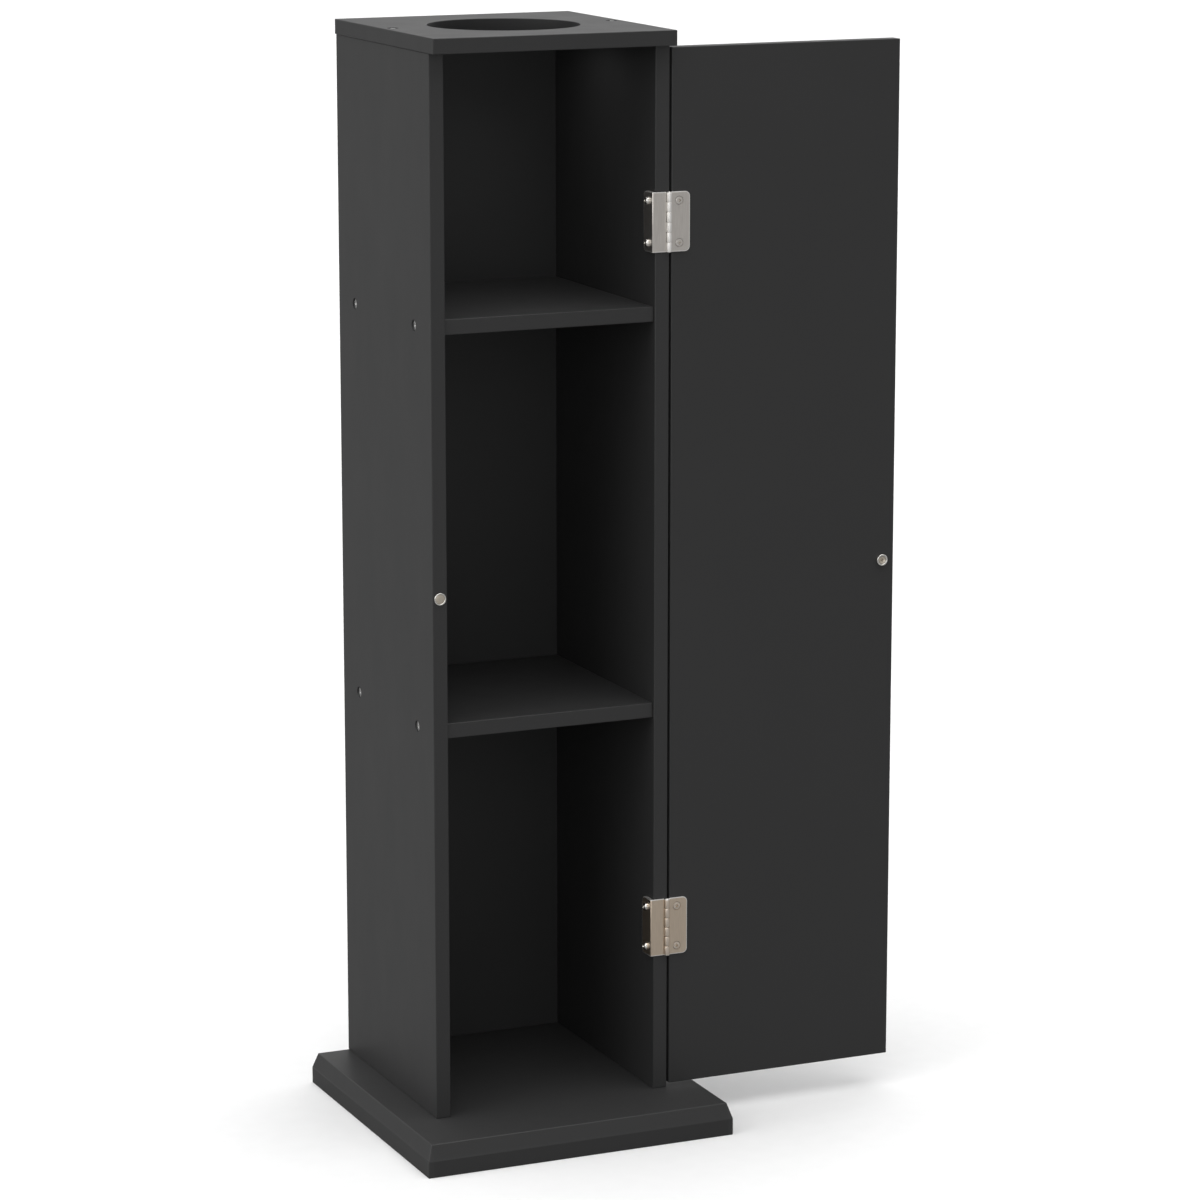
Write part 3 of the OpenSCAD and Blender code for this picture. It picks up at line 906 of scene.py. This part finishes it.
stayPut = [Matrix.Identity(4)]
sideCuts = {
    side: [
        (rebateTool(side), stayPut),
        (boardHole, shelfScrewPlaces[side] + topScrewPlaces),
        (baseHole, baseScrewPlaces),
        (dowelHole, topDowelPlaces + baseDowelPlaces),
        (nailHole, nailPlaces),
    ]
    for side in (left, right)
}
sideCuts[left].append((magnetHole, [magnetPlace]))
sideCuts[right].append((frameScrewHole, frameScrewPlaces["lower"] + frameScrewPlaces["upper"]))
addBoard("left_side_board", (1, 0, 0), sideCuts[left])
addBoard("right_side_board", (1, 0, 0), sideCuts[right])
shelfCuts = [(boardHole, shelfScrewPlaces[left] + shelfScrewPlaces[right])]
addBoard("upper_shelf", (0, 0, 1), shelfCuts)
addBoard("lower_shelf", (0, 0, 1), shelfCuts)
addBoard(
    "door_board", (0, 1, 0),
    [
        (leafHole, doorScrewPlaces["lower"] + doorScrewPlaces["upper"]),
        (strikeScrewHole, [strikePlace]),
    ],
    body="door",
)
print("side boards, shelves and door made")


# Top board: the round hole has a rounded rim above and below
topForm = {"hole": 120.0, "rimRound": 0.6, "rimSteps": 4, "around": 120, "wallReach": 0.5, "steep": 0.3}
# The hole's wall is painted darker and matter than the board: painted shade inside the hole
holeWallShadePaint = {
    **charcoalPaint,
    "dark": (0.016, 0.016, 0.0162, 1),
    "light": (0.021, 0.021, 0.0212, 1),
    "specular": 0.25,
    "roughLow": 0.6,
    "roughHigh": 0.72,
}


def topHoleTool(form):
    radius, soft, steps = form["hole"] / 2, form["rimRound"], form["rimSteps"]
    low, high = plan["underTop"], plan["topFace"]
    flare = []
    for step in range(steps + 1):
        angle = step / steps * math.pi / 2
        flare.append((radius + soft * (1 - math.sin(angle)), soft * (1 - math.cos(angle))))
    under = [(r, low + rise) for r, rise in flare]
    over = [(r, high - rise) for r, rise in reversed(flare)]
    wide, low, high = radius + soft, low - overcut, high + overcut
    return turned([(0, low), (wide, low)] + under + over + [(wide, high), (0, high)], form["around"])


addBoard(
    "top_board", (0, 0, 1),
    [
        (topHoleTool(topForm), [Matrix.Translation((0, plan["middleY"] * mm, 0))]),
        (boardHole, topScrewPlaces),
        (dowelHole, topDowelPlaces),
    ],
    shadedHole={
        "material": paintedBoard("topHoleShadePaint", [], (0, 0, 1), holeWallShadePaint),
        "middle": vectorMm(0, plan["middleY"], 0),
        "radius": (topForm["hole"] / 2 + topForm["wallReach"]) * mm,
        "steep": topForm["steep"],
    },
)
print("top board made")


# Base plate: an upright band, then a steep bevel up to the top face
baseForm = {"bevelIn": 4.0, "bevelTall": 12.5, "arris": 0.6}


def makeBasePlate(form):
    low, high = nodeBox("base_plate")
    bandTop = Vector((high.x, high.y, high.z - form["bevelTall"] * mm))
    bm = boxShape(low, bandTop)
    top = [face for face in bm.faces if face.normal.z > 0.5]
    verts = extrude(bm, top, (0, 0, form["bevelTall"] * mm), keepOriginal=False)
    bmesh.ops.delete(bm, geom=top, context="FACES_ONLY")
    ratio = 1 - 2 * form["bevelIn"] * mm / (high.x - low.x)
    bmesh.ops.scale(bm, vec=(ratio, ratio, 1), verts=verts)
    softenEdges(bm, list(bm.edges), form["arris"] * mm, boardForm["steps"])
    mesh = asMesh(bm)
    for shape, places in ((baseHole, baseScrewPlaces), (dowelHole, baseDowelPlaces)):
        mesh = cutAt(mesh, shape, places)
    inset = Vector((form["bevelIn"], form["bevelIn"], 0)) * mm
    boxes = [(low, bandTop), (low + inset, high - inset)]
    paint = paintOf("base_plate", (0, 0, 1), boxes=boxes)
    addPiece("base_plate", mesh, paint, "carcass", boardForm["flatArea"])


makeBasePlate(baseForm)
print("base plate made")


# Back panel: thin hardboard with hardly any arris, closed against the base plate and the top board
panelForm = {"arris": 0.3, "steps": 2, "closer": 0.28}


def makeBackPanel(form):
    low, high = nodeBox("back_panel")
    low.z, high.z = low.z - form["closer"] * mm, high.z + form["closer"] * mm
    bm = boxShape(low, high)
    softenEdges(bm, list(bm.edges), form["arris"] * mm, form["steps"])
    mesh = cutAt(asMesh(bm), nailHole, nailPlaces)
    paint = paintOf("back_panel", (0, 1, 0))
    addPiece("back_panel", mesh, paint, "carcass", boardForm["flatArea"])


makeBackPanel(panelForm)
print("back panel made")


# Hinges: stamped leaves with rolled knuckles, and a domed pin
hingeForm = {
    "tall": 47.0,
    "sheet": 1.2,
    "barrel": 4.2,
    "bore": 1.05,
    "knuckles": 6,
    "gap": 0.3,
    "notch": 2.25,
    "tongueStart": 1.28,
    "tuck": 0.2,
    "flange": 3.0,
    "flangeLong": 16.5,
    "bend": 0.9,
    "bendSteps": 5,
    "doorReach": 18.2,
    "corner": 4.0,
    "cornerSteps": 8,
    "arris": 0.4,
    "arrisSteps": 2,
    "rollEnd": 75.0,
    "rollSteps": 26,
    "knuckleRound": 0.35,
    "knuckleSteps": 3,
    "rimWide": 0.9,
    "rimRunOn": 60.0,
    "noRim": 1e4,
    "pin": 2.0,
    "pinDome": 0.5,
    "pinCrown": ((0.45, 0.9), (0.8, 0.5)),
    "pinSoft": 0.1,
}


# One knuckle: a short tongue from the leaf's edge, rolled round the pin until it nearly meets the leaf
def rolledKnuckle(form, number, side):
    outer, bore = form["barrel"] / 2, form["bore"]
    back = plan["frontY"] - plan["axisY"]
    start = math.asin(form["tongueStart"] / outer)
    outline = [
        (form["notch"], back), (form["tongueStart"], back),
        (outer * math.sin(start), outer * math.cos(start)), (bore * math.sin(start), bore * math.cos(start)),
        (form["notch"], back - form["sheet"]),
    ]
    bm = bmesh.new()
    verts = [bm.verts.new((side * x * mm, y * mm, 0)) for x, y in outline]
    bm.faces.new(verts)
    rolled = bm.edges.get((verts[2], verts[3]))
    sweep = 2 * math.pi - (math.radians(form["rollEnd"]) - start)
    bmesh.ops.spin(
        bm, geom=[verts[2], verts[3], rolled], cent=(0, 0, 0), axis=(0, 0, 1), dvec=(0, 0, 0),
        angle=side * sweep, steps=form["rollSteps"], use_merge=False, use_duplicate=False,
    )
    pitch = form["tall"] / form["knuckles"]
    rise = number * pitch + form["gap"] / 2
    extrude(bm, list(bm.faces), (0, 0, (pitch - form["gap"]) * mm))
    bmesh.ops.recalc_face_normals(bm, faces=bm.faces)

    def onOutside(spot):
        return spot.xy.length > (bore + outer) / 2 * mm and abs(spot.x) < outer * 1.01 * mm

    ends = [
        e for e in sharpEdges(bm, least=60)
        if alike(e.verts[0].co.z, e.verts[1].co.z) and all(onOutside(v.co) for v in e.verts)
    ]
    softenEdges(bm, ends, form["knuckleRound"] * mm, form["knuckleSteps"])
    bmesh.ops.translate(bm, vec=vectorMm(plan["axisX"], plan["axisY"], rise), verts=bm.verts)
    return asMesh(bm)


def withKnuckles(mesh, form, first, side):
    for number in range(first, form["knuckles"], 2):
        mesh = combined(mesh, rolledKnuckle(form, number, side), "UNION")
    return mesh


def frameLeafPlate(form):
    face = plan["frontY"] - form["sheet"]
    flangeFace = plan["innerX"] - form["flange"]
    edge = plan["axisX"] - form["notch"] + form["tuck"]
    deep = face + form["flangeLong"]
    outline = [
        (flangeFace, face), (edge, face), (edge, plan["frontY"]), (plan["innerX"], plan["frontY"]),
        (plan["innerX"], deep), (flangeFace, deep),
    ]
    bm = bmesh.new()
    base = bm.faces.new([bm.verts.new(vectorMm(x, y, 0)) for x, y in outline])
    extrude(bm, [base], (0, 0, form["tall"] * mm))
    bmesh.ops.recalc_face_normals(bm, faces=bm.faces)
    corners = [
        e for e in bm.edges
        if all(alike(v.co.y, deep * mm) for v in e.verts) and not alike(e.verts[0].co.x, e.verts[1].co.x)
    ]
    softenEdges(bm, corners, form["corner"] * mm, form["cornerSteps"])
    bend = [
        e for e in bm.edges
        if all(alike(v.co.x, flangeFace * mm) and alike(v.co.y, face * mm) for v in e.verts)
    ]
    softenEdges(bm, bend, form["bend"] * mm, form["bendSteps"])
    softenEdges(bm, sharpEdges(bm), form["arris"] * mm, form["arrisSteps"])
    return asMesh(bm)


def doorLeafPlate(form):
    start = plan["axisX"] + form["notch"] - form["tuck"]
    end = plan["axisX"] + form["doorReach"]
    bm = boxShape(
        vectorMm(start, plan["frontY"] - form["sheet"], 0), vectorMm(end, plan["frontY"], form["tall"])
    )
    corners = [
        e for e in bm.edges
        if all(alike(v.co.x, end * mm) for v in e.verts) and alike(e.verts[0].co.z, e.verts[1].co.z)
    ]
    softenEdges(bm, corners, form["corner"] * mm, form["cornerSteps"])
    softenEdges(bm, sharpEdges(bm), form["arris"] * mm, form["arrisSteps"])
    return asMesh(bm)


def pinShape(form):
    radius, dome, tall, soft = form["pin"] / 2, form["pinDome"], form["tall"], form["pinSoft"]
    crown = [(radius * out, dome * up) for out, up in form["pinCrown"]]
    return turned(
        [(0, -dome)] + [(r, -z) for r, z in crown] + [(radius, soft), (radius, tall - soft)]
        + [(r, tall + z) for r, z in reversed(crown)] + [(0, tall + dome)]
    )


def raised(mesh, rise):
    mesh.transform(Matrix.Translation((0, 0, rise * mm)))
    return mesh


# Each leaf's rim is polished where it was stamped and painted lighter as a painted highlight line; the
# outline runs on past the knuckles and the bend
def leafMetals(hinge, form):
    runOn, noRim, corner = form["rimRunOn"], form["noRim"], form["corner"]
    frameEnd = plan["frontY"] - form["sheet"] + form["flangeLong"]
    doorEnd = plan["axisX"] + form["doorReach"]
    rise = form["tall"] / 2 - corner
    ends = {"_frame_leaf": (0, frameEnd - runOn / 2), "_door_leaf": (doorEnd - runOn / 2, 0)}
    inner = {"_frame_leaf": (noRim, runOn / 2 - corner), "_door_leaf": (runOn / 2 - corner, noRim)}
    barrel = {"Axis": vectorMm(plan["axisX"], plan["axisY"], 0), "Radius": form["barrel"] / 2 * mm}
    metals = {}
    for part in ends:
        rim = {
            "Centre": vectorMm(*ends[part], plan["hingeZ"][hinge]),
            "Inner": vectorMm(*inner[part], rise),
            "Corner": corner * mm,
            "Width": form["rimWide"] * mm,
        }
        metals[part] = platedMetal(hinge + part + "_nickel", hingeLooks[hinge], rim, barrel)
    return metals


def makeHinge(hinge, form):
    foot = plan["hingeZ"][hinge] - form["tall"] / 2
    frameLeaf = raised(withKnuckles(frameLeafPlate(form), form, 0, left), foot)
    frameLeaf = cutAt(frameLeaf, flangeHole, frameScrewPlaces[hinge])
    doorLeaf = raised(withKnuckles(doorLeafPlate(form), form, 1, right), foot)
    doorLeaf = cutAt(doorLeaf, leafHole, doorScrewPlaces[hinge])
    pin = pinShape(form)
    pin.transform(Matrix.Translation(vectorMm(plan["axisX"], plan["axisY"], foot)))
    metals = leafMetals(hinge, form)
    for part, mesh, body in (("_frame_leaf", frameLeaf, "carcass"), ("_door_leaf", doorLeaf, "door")):
        addPiece(hinge + part, mesh, metals[part], body)
    addPiece(hinge + "_hinge_pin", pin, screwMetal, "carcass")


for hinge in plan["hingeZ"]:
    makeHinge(hinge, hingeForm)
print("hinges made")


# Magnet catch: a collared cup with a magnet in it, and the dished strike that meets it
catchForm = {
    "collar": 9.8,
    "collarTall": 1.2,
    "collarCrown": 0.45,
    "cup": 8.4,
    "cupDeep": 8.0,
    "cupChamfer": 0.4,
    "wall": 0.5,
    "undercut": 0.25,
    "sunk": 0.45,
    "magnetGap": 0.05,
    "magnetSoft": 0.2,
    "strike": 9.4,
    "strikeTall": 2.9,
    "strikeCrown": 0.5,
    "dish": 6.6,
    "dishDeep": 0.5,
    "dishStep": 0.05,
    "crownSteps": 10,
    "around": 48,
    "holeTurn": 0.03,
}


# Points of a rounded ring's crown, from its inner edge to its outer side
def crownPoints(inner, outer, top, drop, steps):
    middle, half = (inner + outer) / 2, (outer - inner) / 2
    return [
        (middle - half * math.cos(math.pi * i / steps), top - drop + drop * math.sin(math.pi * i / steps))
        for i in range(steps + 1)
    ]


def cupShape(form):
    collar, top, cup, deep = form["collar"] / 2, form["collarTall"], form["cup"] / 2, form["cupDeep"]
    bore, floor = cup - form["wall"], form["wall"] - deep
    foot, chamfer = form["undercut"], form["cupChamfer"]
    crown = crownPoints(bore, collar, top, form["collarCrown"], form["crownSteps"])
    outside = [
        (collar, foot), (collar - foot, 0), (cup, 0), (cup, chamfer - deep), (cup - chamfer, -deep),
        (0, -deep),
    ]
    return turned([(0, floor), (bore, floor)] + crown + outside, form["around"])


def magnetShape(form):
    radius = form["cup"] / 2 - form["wall"] - form["magnetGap"]
    foot, top = form["wall"] - form["cupDeep"], form["collarTall"] - form["sunk"]
    rim = roundedCorner(radius, top, form["magnetSoft"])
    return turned([(0, top)] + rim + [(radius, foot), (0, foot)], form["around"])


def strikeShape(form):
    radius, top, foot = form["strike"] / 2, form["strikeTall"], form["undercut"]
    dish, sunk = form["dish"] / 2, top - form["dishDeep"]
    crown = crownPoints(dish + form["dishStep"], radius, top, form["strikeCrown"], form["crownSteps"])
    outside = [(radius, foot), (radius - foot, 0), (0, 0)]
    disc = turned([(0, sunk), (dish, sunk)] + crown + outside, form["around"])
    disc.transform(strikePlace)
    return cutAt(disc, strikeHole, [strikeTop])


# The strike's screw is turned a little, so that no corner of its hole falls on a corner of the disc
strikeTop = facing(
    (plan["strikeX"], plan["frontY"] - catchForm["strikeTall"] + catchForm["dishDeep"], plan["catchZ"]),
    toFront,
    catchForm["holeTurn"],
)
cup, magnet = cupShape(catchForm), magnetShape(catchForm)
cup.transform(magnetPlace)
magnet.transform(magnetPlace)
addPiece("magnet_cup", cup, screwMetal, "carcass")
addPiece("magnet_disc", magnet, magnetMetal, "carcass")
addPiece("strike_disc", strikeShape(catchForm), screwMetal, "door")
addCopies("strike_screw", screwMeshes["strike"], [strikeTop], magnetMetal, "door")
print("magnet catch made")


# Plain pale floor and soft light from above and from the left
studio = {
    "floorHalf": 60.0,
    "floorSeen": (0.87, 0.87, 0.87, 1),
    "floorBounce": (0.28, 0.28, 0.28, 1),
    "floorRough": 0.9,
    "floorSpecular": 0.1,
    "mottle": (60.0, 2.0),
    "mottleSpan": (0.3, 0.7),
    "mottleLeast": 0.985,
    "skyGlow": 0.42,
    "skyBehind": 1.15,
    "skyBehindAim": (0.38, 0.92, 0.05),
    "skyBehindSpan": (0.82, 0.98),
    "skyBehindHeight": (0.3, 0.1),
    "skySeen": 0.98,
    "overhead": {"aim": (0.0, -0.1, 1.0), "power": 2.3, "soft": 70},
    "sideward": {"aim": (-0.92, -0.05, 0.32), "power": 1.27, "soft": 60},
    "rear": {"aim": (0.9, 0.5, 0.45), "power": 0.55, "soft": 60},
    "softBox": {"place": (-1.0, -2.6, 1.1), "aimAt": (0.0, 0, 0.5), "wide": 1.4, "power": 8.0},
}


def makeFloor(values):
    bm = bmesh.new()
    bmesh.ops.create_grid(bm, x_segments=1, y_segments=1, size=values["floorHalf"])
    floor = inScene("floor", asMesh(bm, "floor"))
    material, tree, shader, point = startMaterial("floorPaper")
    patches = noise(tree, point, *values["mottle"])
    mottle = spread(tree, patches, *values["mottleSpan"], values["mottleLeast"])
    seen = addNode(tree, "ShaderNodeLightPath").outputs["Is Camera Ray"]
    tone = blendColour(tree, seen, values["floorBounce"], values["floorSeen"])
    feed(tree, shader.inputs["Base Color"], blendColour(tree, mottle, (0.0, 0.0, 0.0, 1), tone))
    shader.inputs["Roughness"].default_value = values["floorRough"]
    shader.inputs["Specular IOR Level"].default_value = values["floorSpecular"]
    floor.data.materials.append(material)


def makeSun(name, values):
    data = bpy.data.lights.new(name, "SUN")
    data.energy = values["power"]
    data.angle = math.radians(values["soft"])
    inScene(name, data).rotation_euler = Vector(values["aim"]).to_track_quat("Z", "Y").to_euler()


def makeSoftBox(values):
    data = bpy.data.lights.new("softBox", "AREA")
    data.shape = "SQUARE"
    data.size = values["wide"]
    data.energy = values["power"]
    lamp = inScene("softBox", data)
    lamp.location = values["place"]
    away = Vector(values["place"]) - Vector(values["aimAt"])
    lamp.rotation_euler = away.to_track_quat("Z", "Y").to_euler()


def makeSky(values):
    world = bpy.data.worlds.new("studioSky")
    bpy.context.scene.world = world
    world.use_nodes = True
    tree = world.node_tree
    glow = tree.nodes["Background"]
    glow.inputs["Color"].default_value = (1, 1, 1, 1)
    way = addNode(tree, "ShaderNodeTexCoord").outputs["Generated"]
    aim = Vector(values["skyBehindAim"]).normalized()
    behind = spread(tree, vectorCalc(tree, "DOT_PRODUCT", way, aim), *values["skyBehindSpan"])
    low = spread(tree, splitVector(tree, way)[2], *values["skyBehindHeight"])
    near = calc(tree, "MULTIPLY", behind, low)
    feed(tree, glow.inputs["Strength"], spread(tree, near, 0, 1, values["skyGlow"], values["skyBehind"]))
    seen = addNode(tree, "ShaderNodeBackground")
    seen.inputs["Strength"].default_value = values["skySeen"]
    seen.inputs["Color"].default_value = (1, 1, 1, 1)
    mix = addNode(tree, "ShaderNodeMixShader")
    feed(tree, mix.inputs[0], addNode(tree, "ShaderNodeLightPath").outputs["Is Camera Ray"])
    feed(tree, mix.inputs[1], glow.outputs[0])
    feed(tree, mix.inputs[2], seen.outputs[0])
    feed(tree, tree.nodes["World Output"].inputs["Surface"], mix.outputs[0])


makeFloor(studio)
for name in ("overhead", "sideward", "rear"):
    makeSun(name + "Sun", studio[name])
makeSoftBox(studio["softBox"])
makeSky(studio)
print("floor and lights made")
